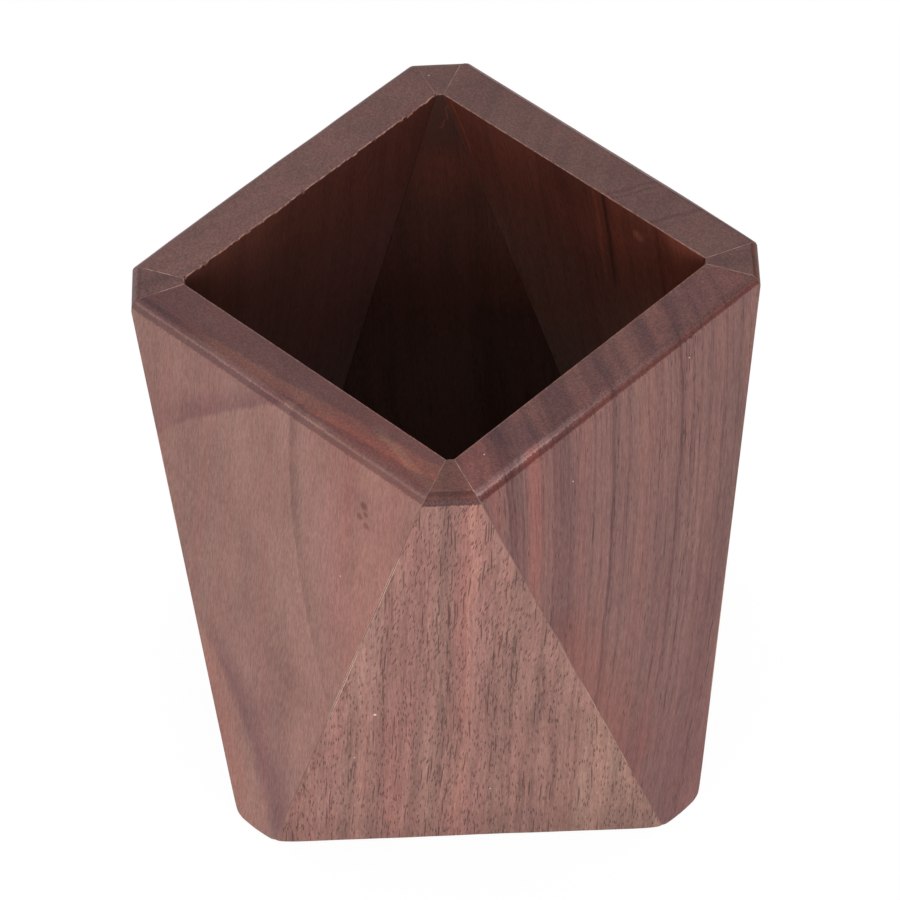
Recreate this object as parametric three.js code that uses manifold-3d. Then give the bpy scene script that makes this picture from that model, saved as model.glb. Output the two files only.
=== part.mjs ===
// A faceted wooden pen holder: eight mitred walnut staves glued edge to edge
// around an inset floor panel. Every stave is the same tapered board, and every
// second one stands upside down, so the rim and the base are two squares with
// clipped corners, turned 45 degrees to each other.
// Millimetres, +Z up. The holder stands on z = 0, centred on the Z axis, and
// its front is towards -Y.

import * as THREE from 'three';
import { ConvexGeometry } from 'three/addons/geometries/ConvexGeometry.js';
import { mergeVertices } from 'three/addons/utils/BufferGeometryUtils.js';
import Module from 'manifold-3d';

const wasm = await Module();
wasm.setup();

// Outside shape
const HEIGHT = 100;
const ACROSS_WIDE_ENDS = 82;
const NARROW_END_WIDTH = 9;

// Boards
const WALL = 9.2;
const FLOOR_THICKNESS = 8;

// Joints: the glue line between two mitres, and the rebate that takes the floor
const GLUE_LINE = 0.3;
const REBATE_DEPTH = 4;
const FLOOR_CLEARANCE = 0.3;

// Worked edges
const RIM_BEVEL_IN = 1.5;
const RIM_BEVEL_DOWN = 1.6;
const BASE_EASING = 0.8;

// The rebate's cutter starts this far below the base, so that it leaves no skin
const CUTTER_OVERRUN = 1;

// The staves by the way they face, from the back round by the left, each with
// the shade of its walnut
const STAVE_SHADES = {
  back: 0x805e55,
  back_left: 0x745049,
  left: 0x8a665c,
  front_left: 0x99736b,
  front: 0x967068,
  front_right: 0x85625e,
  right: 0x7d5a52,
  back_right: 0x7a5248,
};
const FLOOR_SHADE = 0x6e4b40;
const WALNUT_ROUGHNESS = 0.62;

// Square to an axis or to a diagonal, each stave faces an eighth of a turn on
// from the last, and their mitres split that angle
const STRAIGHT_FACES = 4;
const QUARTER_TURN = Math.PI / 2;
const EIGHTH_TURN = Math.PI / 4;
const MITRE_ANGLE = EIGHTH_TURN / 2;

// Distances from the Z axis to the outside of a stave, at its two ends
const WIDE_END_INRADIUS = ACROSS_WIDE_ENDS / 2;
const NARROW_END_INRADIUS = Math.SQRT2 * WIDE_END_INRADIUS - NARROW_END_WIDTH / 2;

// A stave leans by this angle, which makes its level section a little thicker
const LEAN = Math.atan2(NARROW_END_INRADIUS - WIDE_END_INRADIUS, HEIGHT);
const LEVEL_WALL = WALL / Math.cos(LEAN);

// The two ways up: wide at the base, facing along X or Y, and wide at the rim,
// facing along a diagonal
const BASE_STAVE = { atBase: WIDE_END_INRADIUS, atRim: NARROW_END_INRADIUS };
const RIM_STAVE = { atBase: NARROW_END_INRADIUS, atRim: WIDE_END_INRADIUS };

// Distance from the axis to the outside of a stave at height z
function inradius(stave, z) {
  return THREE.MathUtils.lerp(stave.atBase, stave.atRim, z / HEIGHT);
}

// Half the width of an octagon's face, between neighbours at another distance
function halfFaceWidth(own, neighbour) {
  return Math.SQRT2 * neighbour - own;
}

// A closed mesh as a solid that can be cut
function toSolid(geometry) {
  const bare = geometry.clone();
  bare.deleteAttribute('normal');
  bare.deleteAttribute('uv');
  const merged = mergeVertices(bare);
  const mesh = new wasm.Mesh({
    numProp: 3,
    vertProperties: new Float32Array(merged.attributes.position.array),
    triVerts: new Uint32Array(merged.index.array),
  });
  return new wasm.Manifold(mesh);
}

// A cut solid as a mesh again
function toGeometry(solid) {
  const mesh = solid.getMesh();
  const geometry = new THREE.BufferGeometry();
  geometry.setAttribute('position', new THREE.BufferAttribute(mesh.vertProperties, mesh.numProp));
  geometry.setIndex(new THREE.BufferAttribute(mesh.triVerts, 1));
  geometry.computeVertexNormals();
  return geometry;
}

// An upright prism with eight faces, at one distance from the axis across X and
// Y and at another across the diagonals
function octagonalPrism(straight, diagonal, low, high) {
  const half = halfFaceWidth(straight, diagonal);
  const axis = new THREE.Vector2();
  const corners = [];
  for (let face = 0; face < STRAIGHT_FACES; face += 1) {
    for (const side of [1, -1]) {
      const corner = new THREE.Vector2(side * half, straight);
      corners.push(corner.rotateAround(axis, face * QUARTER_TURN));
    }
  }
  const prism = new THREE.ExtrudeGeometry(new THREE.Shape(corners), {
    depth: high - low,
    bevelEnabled: false,
  });
  return prism.translate(0, 0, low);
}

// A stave before its rebate, facing +Y. Its section runs from mitre to mitre,
// bevelled at the outside of the rim and eased at the outside of the base
function staveBlank(stave, neighbour) {
  const section = [
    { z: 0, inset: LEVEL_WALL },
    { z: 0, inset: BASE_EASING },
    { z: BASE_EASING, inset: 0 },
    { z: HEIGHT - RIM_BEVEL_DOWN, inset: 0 },
    { z: HEIGHT, inset: RIM_BEVEL_IN },
    { z: HEIGHT, inset: LEVEL_WALL },
  ];
  const halfGlueLine = GLUE_LINE / 2 / Math.cos(MITRE_ANGLE);
  const corners = [];
  for (const { z, inset } of section) {
    const own = inradius(stave, z);
    const outerHalfWidth = halfFaceWidth(own, inradius(neighbour, z));
    const halfWidth = outerHalfWidth - inset * Math.tan(MITRE_ANGLE) - halfGlueLine;
    for (const side of [-1, 1]) {
      corners.push(new THREE.Vector3(side * halfWidth, own - inset, z));
    }
  }
  return new ConvexGeometry(corners);
}

// Height of the rebate's shoulder, just above the floor panel
const REBATE_TOP = FLOOR_THICKNESS + FLOOR_CLEARANCE;

// Distance from the axis to the rebate's side. Its depth is taken at the shoulder
function rebateInradius(stave) {
  return inradius(stave, REBATE_TOP) - LEVEL_WALL + REBATE_DEPTH;
}

// A stave with its rebate for the floor panel, facing +Y
function staveGeometry(stave, neighbour) {
  const straight = rebateInradius(stave);
  const diagonal = rebateInradius(neighbour);
  const rebate = octagonalPrism(straight, diagonal, -CUTTER_OVERRUN, REBATE_TOP);
  const blank = toSolid(staveBlank(stave, neighbour));
  return toGeometry(blank.subtract(toSolid(rebate)));
}

// The floor panel lies in the rebates, flush with the base
function floorGeometry() {
  const straight = rebateInradius(BASE_STAVE) - FLOOR_CLEARANCE;
  const diagonal = rebateInradius(RIM_STAVE) - FLOOR_CLEARANCE;
  return octagonalPrism(straight, diagonal, 0, FLOOR_THICKNESS);
}

// One board of walnut
function board(name, geometry, shade) {
  const walnut = new THREE.MeshStandardMaterial({
    color: shade,
    roughness: WALNUT_ROUGHNESS,
    metalness: 0,
    flatShading: true,
  });
  const mesh = new THREE.Mesh(geometry, walnut);
  mesh.name = name;
  return mesh;
}

// The ring of staves, alternately wide at the base and wide at the rim
function staveRing() {
  const baseStave = staveGeometry(BASE_STAVE, RIM_STAVE);
  const rimStave = staveGeometry(RIM_STAVE, BASE_STAVE);
  const ring = new THREE.Group();
  Object.entries(STAVE_SHADES).forEach(([facing, shade], place) => {
    const facesDiagonal = place % 2 === 1;
    const stave = facesDiagonal
      ? board(`rim_stave_${facing}`, rimStave, shade)
      : board(`base_stave_${facing}`, baseStave, shade);
    stave.rotation.z = place * EIGHTH_TURN;
    ring.add(stave);
  });
  return ring;
}

const penHolder = new THREE.Group();
penHolder.name = 'pen_holder';
penHolder.add(staveRing(), board('floor_panel', floorGeometry(), FLOOR_SHADE));

export default penHolder;
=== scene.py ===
# A faceted walnut pen holder on a plain white floor. Each of its eight staves is
# a finished board in place of the plain packed one, with worked edges, a solid
# walnut grain that runs through it, and a thin line of glue in every mitre.

from dataclasses import dataclass
from math import atan2, cos, pi, radians, sin, sqrt, tan

import bpy
import numpy as np
from mathutils import Matrix, Vector


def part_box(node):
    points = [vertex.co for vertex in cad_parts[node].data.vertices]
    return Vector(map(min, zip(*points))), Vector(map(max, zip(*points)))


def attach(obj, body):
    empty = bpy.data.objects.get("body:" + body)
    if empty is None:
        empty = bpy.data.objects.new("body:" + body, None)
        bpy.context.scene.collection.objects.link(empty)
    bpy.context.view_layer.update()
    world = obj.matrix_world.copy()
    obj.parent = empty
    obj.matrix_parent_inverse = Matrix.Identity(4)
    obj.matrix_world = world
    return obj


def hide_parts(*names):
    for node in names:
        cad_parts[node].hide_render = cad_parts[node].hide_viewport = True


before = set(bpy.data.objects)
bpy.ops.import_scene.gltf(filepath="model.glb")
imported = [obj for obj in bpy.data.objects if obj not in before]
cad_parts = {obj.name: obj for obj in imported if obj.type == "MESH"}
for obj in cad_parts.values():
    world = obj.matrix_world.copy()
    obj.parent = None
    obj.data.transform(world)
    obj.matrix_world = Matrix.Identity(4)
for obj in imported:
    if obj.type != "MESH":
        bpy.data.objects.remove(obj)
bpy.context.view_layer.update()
scene = bpy.context.scene

MM = 0.001

# Outside shape, in millimetres. Every second stave stands upside down
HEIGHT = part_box("base_stave_front")[1].z / MM
WIDE_END_INRADIUS = 41
NARROW_END_WIDTH = 9
NARROW_END_INRADIUS = sqrt(2) * WIDE_END_INRADIUS - NARROW_END_WIDTH / 2
WALL = 9.2
FLOOR_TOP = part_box("floor_panel")[1].z / MM

# Joints, in millimetres. The glue fills the gap between two mitres, a little
# below the faces of the boards
GLUE_LINE = 0.16
GLUE_FIT = 0.97
GLUE_RECESS = 0.02
FLOOR_CLEARANCE = 0.3
REBATE_TOP = FLOOR_TOP + FLOOR_CLEARANCE
REBATE_DEPTH = 4

# Worked edges, in millimetres and degrees. The rim's outer edge is rolled over
# by hand in two strokes, the lower one steeper
RIM_BEVEL_IN = 1.5
RIM_BEVEL_DOWN = 1.6
LOWER_STROKE = 30
UPPER_STROKE = 62

# How far the rounding of each edge reaches, in millimetres. The arrises between
# the faces are rounder at their foot, and the base is rounder at the corners
ARRIS_REACH = 0.05
ARRIS_FOOT_REACH = 0.9
ARRIS_FOOT_FADE = 2.4
STROKE_ARRIS_REACH = 0.25
LOWER_STROKE_REACH = 0.22
UPPER_STROKE_REACH = 0.4
TOP_REACH = 0.35
INNER_ARRIS_REACH = 0.04
TORN_REACH = 0.03
BASE_REACH = 0.55
BASE_CORNER_REACH = 1.1
BASE_CORNER_FADE = 1.2

# The unevenness of a hand's work, in millimetres, as waves round the holder
STROKE_UNEVENNESS = 0.05
BASE_UNEVENNESS = 0.12
HAND_WAVES = (3, 5, 8, 13, 21, 34)
HAND_SLANT = 3

# How many times a point is moved towards the worked surface, and the angle in
# degrees from which an edge shows sharp
WORK_ROUNDS = 4
SHARP_ANGLE = 28

# The rim's inner arris is a little worn, and its fibres are torn out where it was
# planed against the grain
ARRIS_WEAR = 0.05
TORN_DEPTHS = {"back_left": 0.8, "back": 0.4, "back_right": 0.16}
TEAR_STEPS = (0.15, 0.9)
TEAR_COUNT = 180

# How far each stave's rim is rolled, as shares of the full roll, at its first end
# going round from +X to +Y, in its middle and at its other end. The staves are in
# order round the axis from the one that faces +X
RIM_ROLLS = {
    "right": (0.8, 0.75, 0.8),
    "back_right": (0.65, 0.08, 0.05),
    "back": (1, 1, 1.1),
    "back_left": (0.8, 0.6, 0.85),
    "left": (1, 1, 1),
    "front_left": (1, 0.95, 1),
    "front": (1.1, 1.1, 1.1),
    "front_right": (1, 0.9, 0.75),
}
FACINGS = tuple(RIM_ROLLS)

# Where the glue shows pale outside, by the first stave of its joint: the lowest and
# highest z of each stretch, and how strong it is
GLUE_FADE = 2
GLUE_STRETCHES = {
    "right": ((30, 52, 0.7),),
    "back_right": ((12, 26, 0.8), (66, 81, 0.6)),
    "back": ((41, 70, 0.8),),
    "back_left": ((18, 35, 0.7),),
    "left": ((58, 77, 0.6),),
    "front_left": ((40, 56, 1), (58, 70, 0.5), (73, 83, 1)),
    "front": ((56.5, 57.5, 0.8),),
    "front_right": ((22, 47, 0.6),),
}
# And where it shows on the rim, which faces nearly straight up: how far inside the
# face it starts, and how strong it is
RIM_UP = 0.97
RIM_GLUE_FADE = 0.5
RIM_GLUE = {
    "right": (0, 0.5),
    "back_right": (0, 0.55),
    "back": (0, 0.4),
    "back_left": (7, 0.2),
    "left": (1.5, 0.9),
    "front_left": (5, 0.6),
    "front": (2, 0.3),
    "front_right": (0, 0.6),
}

# Points of a stave's lattice: how many there are along each stretch, and how
# closely they crowd towards its ends
FOOT_POINTS = (12, 0.9)
BODY_POINTS = (56, 0.95)
BEVEL_STEPS = 8
INSIDE_CROWDING = 0.96
WALL_POINTS = (24, 0.93)
ACROSS_POINTS = (60, 0.9)
ACROSS_TORN_POINTS = (150, 0.9)
SHOULDER_GAP = 0.6

EIGHTH_TURN = pi / 4
MITRE_TAN = tan(EIGHTH_TURN / 2)
HALF_GAP = GLUE_LINE / 2 / cos(EIGHTH_TURN / 2)
LEAN = atan2(NARROW_END_INRADIUS - WIDE_END_INRADIUS, HEIGHT)
LEVEL_WALL = WALL / cos(LEAN)

BASE_STAVE = (WIDE_END_INRADIUS, NARROW_END_INRADIUS)
RIM_STAVE = (NARROW_END_INRADIUS, WIDE_END_INRADIUS)


# Shape of a stave

def inradius(stave, z):
    """Distance from the axis to the outside of a stave at height z."""
    at_base, at_rim = stave
    return at_base + (at_rim - at_base) * z / HEIGHT


def rise(stave):
    """The angle by which a stave's face looks up."""
    at_base, at_rim = stave
    return atan2(at_base - at_rim, HEIGHT)


def half_width(stave, neighbour, z, inset):
    """Half the width of a stave at height z, at a level distance inside its face."""
    own = inradius(stave, z)
    return sqrt(2) * inradius(neighbour, z) - own - inset * MITRE_TAN


def crowded(count, crowding):
    """Values from 0 to 1 that lie closer together towards both ends."""
    even = np.linspace(0, 1, count)
    return even - crowding * np.sin(2 * pi * even) / (2 * pi)


def rungs(stave):
    """The outer and the inner end of each rung of a stave's section, as (z, inset)."""
    foot = crowded(*FOOT_POINTS)
    body = crowded(*BODY_POINTS)
    bevel = np.linspace(0, 1, BEVEL_STEPS + 1)[1:]
    low = REBATE_TOP + SHOULDER_GAP
    top = HEIGHT - RIM_BEVEL_DOWN
    outer = [(z, 0) for z in foot * (REBATE_TOP - SHOULDER_GAP)]
    outer += [(z, 0) for z in low + body * (top - low)]
    outer += [(top + t * RIM_BEVEL_DOWN, t * RIM_BEVEL_IN) for t in bevel]
    upper = crowded(len(body) + len(bevel), INSIDE_CROWDING)
    inner = [(z, LEVEL_WALL - REBATE_DEPTH) for z in foot * REBATE_TOP]
    inner += [(z, LEVEL_WALL) for z in REBATE_TOP + upper * (HEIGHT - REBATE_TOP)]
    return np.array(outer), np.array(inner)


def rebate_inradius(stave):
    """Distance from the axis to the side of the rebate, which is cut square to the base."""
    return inradius(stave, REBATE_TOP) - LEVEL_WALL + REBATE_DEPTH


def foot_insets(stave, neighbour, z, across):
    """Level distances from a stave's face to the side of its rebate, at height z.

    The rebate is cut round the whole ring. Where a stave's own side of it is the
    shallower one, its neighbour's side leaves some wood near the mitre.
    """
    own = inradius(stave, z) - rebate_inradius(stave)
    beside = inradius(neighbour, z) - rebate_inradius(neighbour)
    corner = sqrt(2) * rebate_inradius(neighbour) - rebate_inradius(stave)
    start = corner / half_width(stave, neighbour, z, own)
    left = (np.abs(across)[:, None, None] - start) / np.maximum(1 - start, 1e-6)
    return own + np.clip(left, 0, 1) * np.maximum(beside - own, 0)


def stave_lattice(stave, neighbour, across):
    """Points of a stave that faces +Y: across it, up its rungs and through its wall.

    across is -1 to 1 from mitre to mitre.
    """
    outer, inner = rungs(stave)
    through = crowded(*WALL_POINTS)
    z = outer[:, None, 0] + (inner - outer)[:, None, 0] * through
    inset = outer[:, None, 1] + (inner - outer)[:, None, 1] * through
    inset = np.repeat(inset[None], len(across), 0)
    foot = outer[:, 0] < REBATE_TOP
    inset[:, foot] = (foot_insets(stave, neighbour, z, across) * through)[:, foot]
    x = across[:, None, None] * (half_width(stave, neighbour, z, inset) - HALF_GAP)
    y = inradius(stave, z) - inset
    z = np.broadcast_to(z, x.shape)
    return np.stack([x, y, z], -1)


def shell(lattice):
    """The outside of a lattice of points, as its vertices and their quads."""
    counts = lattice.shape[:3]
    index = np.arange(np.prod(counts)).reshape(counts)
    quads = []
    for axis in range(3):
        for end in (0, -1):
            side = np.take(index, end, axis)
            loop = (side[:-1, :-1], side[1:, :-1], side[1:, 1:], side[:-1, 1:])
            faces = np.stack(loop, -1).reshape(-1, 4)
            turned_round = (axis == 1) == (end == 0)
            quads.append(faces if turned_round else faces[:, ::-1])
    quads = np.concatenate(quads)
    used, quads = np.unique(quads, return_inverse=True)
    return used, quads.reshape(-1, 4)


# Worked edges

def flat_surface(points, normal, through):
    """Distance of each point in front of a plane, with its direction."""
    normal = np.array(normal, float)
    distance = (points - np.array(through, float)) @ normal
    return distance, np.broadcast_to(normal, points.shape)


def smooth_max(first, second, reach):
    """The greater of two distances, rounded over within reach where they are alike."""
    (a, a_way), (b, b_way) = first, second
    blend = np.clip(0.5 + (a - b) / (2 * reach), 0, 1)
    overlap = np.maximum(reach - np.abs(a - b), 0)
    way = blend[:, None] * a_way + (1 - blend)[:, None] * b_way
    return np.maximum(a, b) + overlap ** 2 / (4 * reach), way


def tilted_plane(points, stave, turn, tilt=0, drop=0, inset=0):
    """A plane across a stave's face, tilted back from it by degrees.

    It goes through the line that lies the drop below the rim and the inset inside
    the face. Both may differ from point to point.
    """
    angle = rise(stave) + radians(tilt)
    out = np.array([cos(turn), sin(turn)])
    level = inradius(stave, HEIGHT - drop) - inset
    normal = np.array([*(out * cos(angle)), sin(angle)])
    distance = points @ normal - level * cos(angle) - (HEIGHT - drop) * sin(angle)
    return distance, np.broadcast_to(normal, points.shape)


def place_facing(turn):
    """The place round the axis of the stave that faces along turn."""
    return round(turn / EIGHTH_TURN) % len(FACINGS)


def rim_roll(points, turn):
    """How far the rim of the stave that faces along turn is rolled beside each point."""
    place = place_facing(turn)
    cap_turn = atan2(NARROW_END_WIDTH / 2, NARROW_END_INRADIUS)
    reach = cap_turn if place % 2 == 0 else EIGHTH_TURN - cap_turn
    beside = np.arctan2(points[:, 1], points[:, 0]) - turn
    beside = (beside + pi) % (2 * pi) - pi
    return np.interp(beside, (-reach, 0, reach), RIM_ROLLS[FACINGS[place]])


def handwork(points, seed):
    """A slow unevenness round the holder, about -1 to 1, as a hand leaves it."""
    draw = np.random.default_rng(seed)
    turn = np.arctan2(points[:, 1], points[:, 0])
    height = points[:, 2] / HEIGHT
    total = np.zeros(len(points))
    for wave in HAND_WAVES:
        phase, slant = draw.uniform(0, 2 * pi, 2)
        total += np.sin(wave * turn + slant * height * HAND_SLANT + phase) / sqrt(wave)
    return total


def torn_edge(points, turn):
    """How far the inner arris of a stave's rim is broken away beside each point."""
    place = place_facing(turn)
    draw = np.random.default_rng(place)
    steps = np.cumsum(draw.uniform(*TEAR_STEPS, TEAR_COUNT)) - WIDE_END_INRADIUS
    deepest = TORN_DEPTHS.get(FACINGS[place], ARRIS_WEAR)
    depths = ARRIS_WEAR + deepest * draw.uniform(0, 1, TEAR_COUNT) ** 3
    along = points[:, :2] @ (-sin(turn), cos(turn))
    return np.interp(along, steps, depths)


def stroke_planes(points, places, rolls, tilt, drop, inset):
    """The planes of one stroke along the rims of a stave and its two neighbours."""
    uneven = STROKE_UNEVENNESS * handwork(points, 3)
    planes = []
    for (kind, turn), roll in zip(places, rolls):
        distance, way = tilted_plane(points, kind, turn, tilt, drop * roll, inset * roll)
        planes.append((distance + uneven, way))
    return planes


def worked_surface(points, stave, neighbour, turn):
    """Distance of each point in front of a stave's worked surface, with its direction."""
    places = ((stave, turn), (neighbour, turn - EIGHTH_TURN), (neighbour, turn + EIGHTH_TURN))
    faces = [tilted_plane(points, kind, facing) for kind, facing in places]
    rolls = [rim_roll(points, facing) for _, facing in places]
    lower = stroke_planes(points, places, rolls, LOWER_STROKE, RIM_BEVEL_DOWN, 0)
    upper = stroke_planes(points, places, rolls, UPPER_STROKE, 0, RIM_BEVEL_IN)
    own, first, second = (distance for distance, _ in faces)
    corner = np.exp(-np.minimum(np.abs(own - first), np.abs(own - second)) / BASE_CORNER_FADE)
    low = np.exp(-np.maximum(points[:, 2], 0) / ARRIS_FOOT_FADE)
    arris_reach = ARRIS_REACH + ARRIS_FOOT_REACH * low
    base_reach = BASE_REACH + BASE_UNEVENNESS * handwork(points, 5) + BASE_CORNER_REACH * corner
    joined = []
    for group, reach in ((faces, arris_reach), (lower, STROKE_ARRIS_REACH), (upper, STROKE_ARRIS_REACH)):
        surface = smooth_max(group[0], group[1], reach)
        joined.append(smooth_max(surface, group[2], reach))
    roll = np.minimum(rolls[0], 1)
    surface = smooth_max(joined[0], joined[1], LOWER_STROKE_REACH)
    surface = smooth_max(surface, joined[2], UPPER_STROKE_REACH * roll)
    top = flat_surface(points, (0, 0, 1), (0, 0, HEIGHT))
    surface = smooth_max(surface, top, TOP_REACH * roll)
    surface = smooth_max(surface, flat_surface(points, (0, 0, -1), (0, 0, 0)), base_reach)
    back = (-own - WALL, -faces[0][1])
    surface = smooth_max(surface, back, INNER_ARRIS_REACH)
    torn = ((top[0] + back[0] + torn_edge(points, turn)) / sqrt(2), (top[1] + back[1]) / sqrt(2))
    return smooth_max(surface, torn, TORN_REACH), back[1]


def work(points, skin, stave, neighbour, turn, recess=0):
    """Moves the points of the skin on to the worked surface, and any others inside it.

    Also says how far each point then faces up, and how far in.
    """
    for _ in range(WORK_ROUNDS):
        (distance, way), _ = worked_surface(points, stave, neighbour, turn)
        distance = distance + recess
        step = np.where(skin, distance, np.maximum(distance, 0))
        points = points - (step / (way ** 2).sum(-1))[:, None] * way
    (_, way), back = worked_surface(points, stave, neighbour, turn)
    way = way / np.linalg.norm(way, axis=-1, keepdims=True)
    return points, way[:, 2], np.clip((way * back).sum(-1), 0, 1)


# Meshes

def add_object(name, data):
    """A new object of the scene that holds the data."""
    added = bpy.data.objects.new(name, data)
    scene.collection.objects.link(added)
    return added


def add_mesh(name, points, quads, attributes):
    """A piece in metres from points in millimetres, with its point attributes."""
    mesh = bpy.data.meshes.new(name)
    mesh.from_pydata((points * MM).tolist(), [], quads.tolist())
    for key, values in attributes.items():
        attribute = mesh.attributes.new(key, "FLOAT_VECTOR", "POINT")
        attribute.data.foreach_set("vector", np.stack(values, -1).astype(np.float32).ravel())
    mesh.shade_smooth()
    mesh.set_sharp_from_angle(angle=radians(SHARP_ANGLE))
    mesh.update()
    return add_object(name, mesh)


def turned(points, turn):
    """Points that face +Y, turned to face along an angle from +X."""
    angle = turn - pi / 2
    matrix = np.array(Matrix.Rotation(angle, 3, "Z"))
    return points @ matrix.T


def stave_kinds(place):
    """A stave's kind and its neighbours' kind, by its place round the axis."""
    return (BASE_STAVE, RIM_STAVE) if place % 2 == 0 else (RIM_STAVE, BASE_STAVE)


def node_name(place):
    """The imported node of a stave."""
    kind = "base_stave" if place % 2 == 0 else "rim_stave"
    return f"{kind}_{FACINGS[place]}"


def skin_mask(lattice_shape, stave):
    """Which lattice points lie on the worked outside of a stave, and not on a joint."""
    mask = np.zeros(lattice_shape, bool)
    outer, _ = rungs(stave)
    mask[:, :, 0] = True
    mask[:, -1, :] = True
    mask[:, 0, :] = True
    mask[:, outer[:, 0] > REBATE_TOP, -1] = True
    return mask.reshape(-1)


def worked_shell(lattice, place, recess=0):
    """The worked outside of a lattice: its points and quads, and how far it faces up and in."""
    stave, neighbour = stave_kinds(place)
    turn = place * EIGHTH_TURN
    used, quads = shell(lattice)
    skin = skin_mask(lattice.shape[:3], stave)[used]
    points = turned(lattice.reshape(-1, 3)[used], turn)
    points, up, inside = work(points, skin, stave, neighbour, turn, recess)
    return points, quads, up, inside


def glue_paleness(place, z):
    """How pale the glue between a stave and the next one is outside, at height z."""
    pale = np.zeros(len(z))
    for low, high, strength in GLUE_STRETCHES[FACINGS[place]]:
        reached = np.interp(z, (low - GLUE_FADE, low, high, high + GLUE_FADE), (0, 1, 1, 0))
        pale = np.maximum(pale, strength * reached)
    return pale


def add_stave(place):
    """One finished board, with where each point lies in the wood."""
    stave, neighbour = stave_kinds(place)
    turn = place * EIGHTH_TURN
    long_torn = place % 2 and FACINGS[place] in TORN_DEPTHS
    across = 2 * crowded(*(ACROSS_TORN_POINTS if long_torn else ACROSS_POINTS)) - 1
    points, quads, up, inside = worked_shell(stave_lattice(stave, neighbour, across), place)
    x, y, z = turned(points, pi - turn).T
    angle = rise(stave)
    out = y - inradius(stave, 0)
    depth = -out * cos(angle) - z * sin(angle)
    along_grain = z * cos(angle) - out * sin(angle)
    above_roll = z - HEIGHT + RIM_BEVEL_DOWN * rim_roll(points, turn)
    from_mitre = half_width(stave, neighbour, z, inradius(stave, z) - y) - np.abs(x)
    pale = np.where(x < 0, glue_paleness(place, z), glue_paleness(place - 1, z))
    return add_mesh(f"walnut_{node_name(place)}", points, quads, {
        "grain": (-x, depth, along_grain),
        "surface": (up, inside, above_roll),
        "joint": (pale, from_mitre, np.zeros(len(z))),
    })


def add_glue_line(place):
    """The glue between a stave and the next one round."""
    stave, neighbour = stave_kinds(place)
    lattice = stave_lattice(stave, neighbour, np.array([1.0, 1.0]))
    lattice[0, ..., 0] += HALF_GAP * (1 - GLUE_FIT)
    lattice[1, ..., 0] += HALF_GAP * (1 + GLUE_FIT)
    points, quads, up, inside = worked_shell(lattice, place, GLUE_RECESS)
    _, y, z = turned(points, pi - place * EIGHTH_TURN).T
    start, strength = RIM_GLUE[FACINGS[place]]
    within = inradius(stave, z) - y
    on_rim = np.interp(within, (start - RIM_GLUE_FADE, start + RIM_GLUE_FADE), (0, strength))
    pale = np.maximum(glue_paleness(place, z), on_rim * (up > RIM_UP)) * (1 - inside)
    following = FACINGS[(place + 1) % len(FACINGS)]
    name = f"glue_line_{FACINGS[place]}_to_{following}"
    return add_mesh(name, points, quads, {"surface": (pale, inside, z)})


staves = {}
glue_lines = []
for place, facing in enumerate(FACINGS):
    node = node_name(place)
    piece = add_stave(place)
    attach(piece, "root")
    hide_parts(node)
    staves[facing] = piece
for place in range(len(FACINGS)):
    piece = add_glue_line(place)
    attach(piece, "root")
    glue_lines.append(piece)


# Camera, as the photograph was taken: from above the front, through a long lens

CAMERA_AZIMUTH = radians(0.839)
CAMERA_ELEVATION = radians(46.103)
CAMERA_ROLL = radians(-2.809)
CAMERA_DISTANCE = 0.9785
CAMERA_AIM = Vector((-0.00063, 0.00311, 0.053))
CAMERA_LENS = 222.4
CAMERA_SENSOR = 36
CAMERA_FARTHEST = 20


def add_camera():
    """The camera, turned a little about its own axis."""
    level = cos(CAMERA_ELEVATION)
    back = Vector((
        sin(CAMERA_AZIMUTH) * level,
        -cos(CAMERA_AZIMUTH) * level,
        sin(CAMERA_ELEVATION),
    ))
    right = Vector((0, 0, 1)).cross(back).normalized()
    upright = Matrix((right, back.cross(right), back)).transposed()
    rolled = (upright @ Matrix.Rotation(CAMERA_ROLL, 3, "Z")).to_quaternion()
    data = bpy.data.cameras.new("camera")
    data.lens = CAMERA_LENS
    data.sensor_width = CAMERA_SENSOR
    data.clip_end = CAMERA_FARTHEST
    camera = add_object("camera", data)
    camera.matrix_world = Matrix.LocRotScale(CAMERA_AIM + back * CAMERA_DISTANCE, rolled, None)
    scene.camera = camera


add_camera()


# Walnut

def colour(red, green, blue):
    """A colour written as it shows on a screen, 0 to 255, as the shader's light values."""
    values = []
    for shown in (red, green, blue):
        share = shown / 255
        values.append(share / 12.92 if share <= 0.04045 else ((share + 0.055) / 1.055) ** 2.4)
    return (*values, 1)


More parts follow.
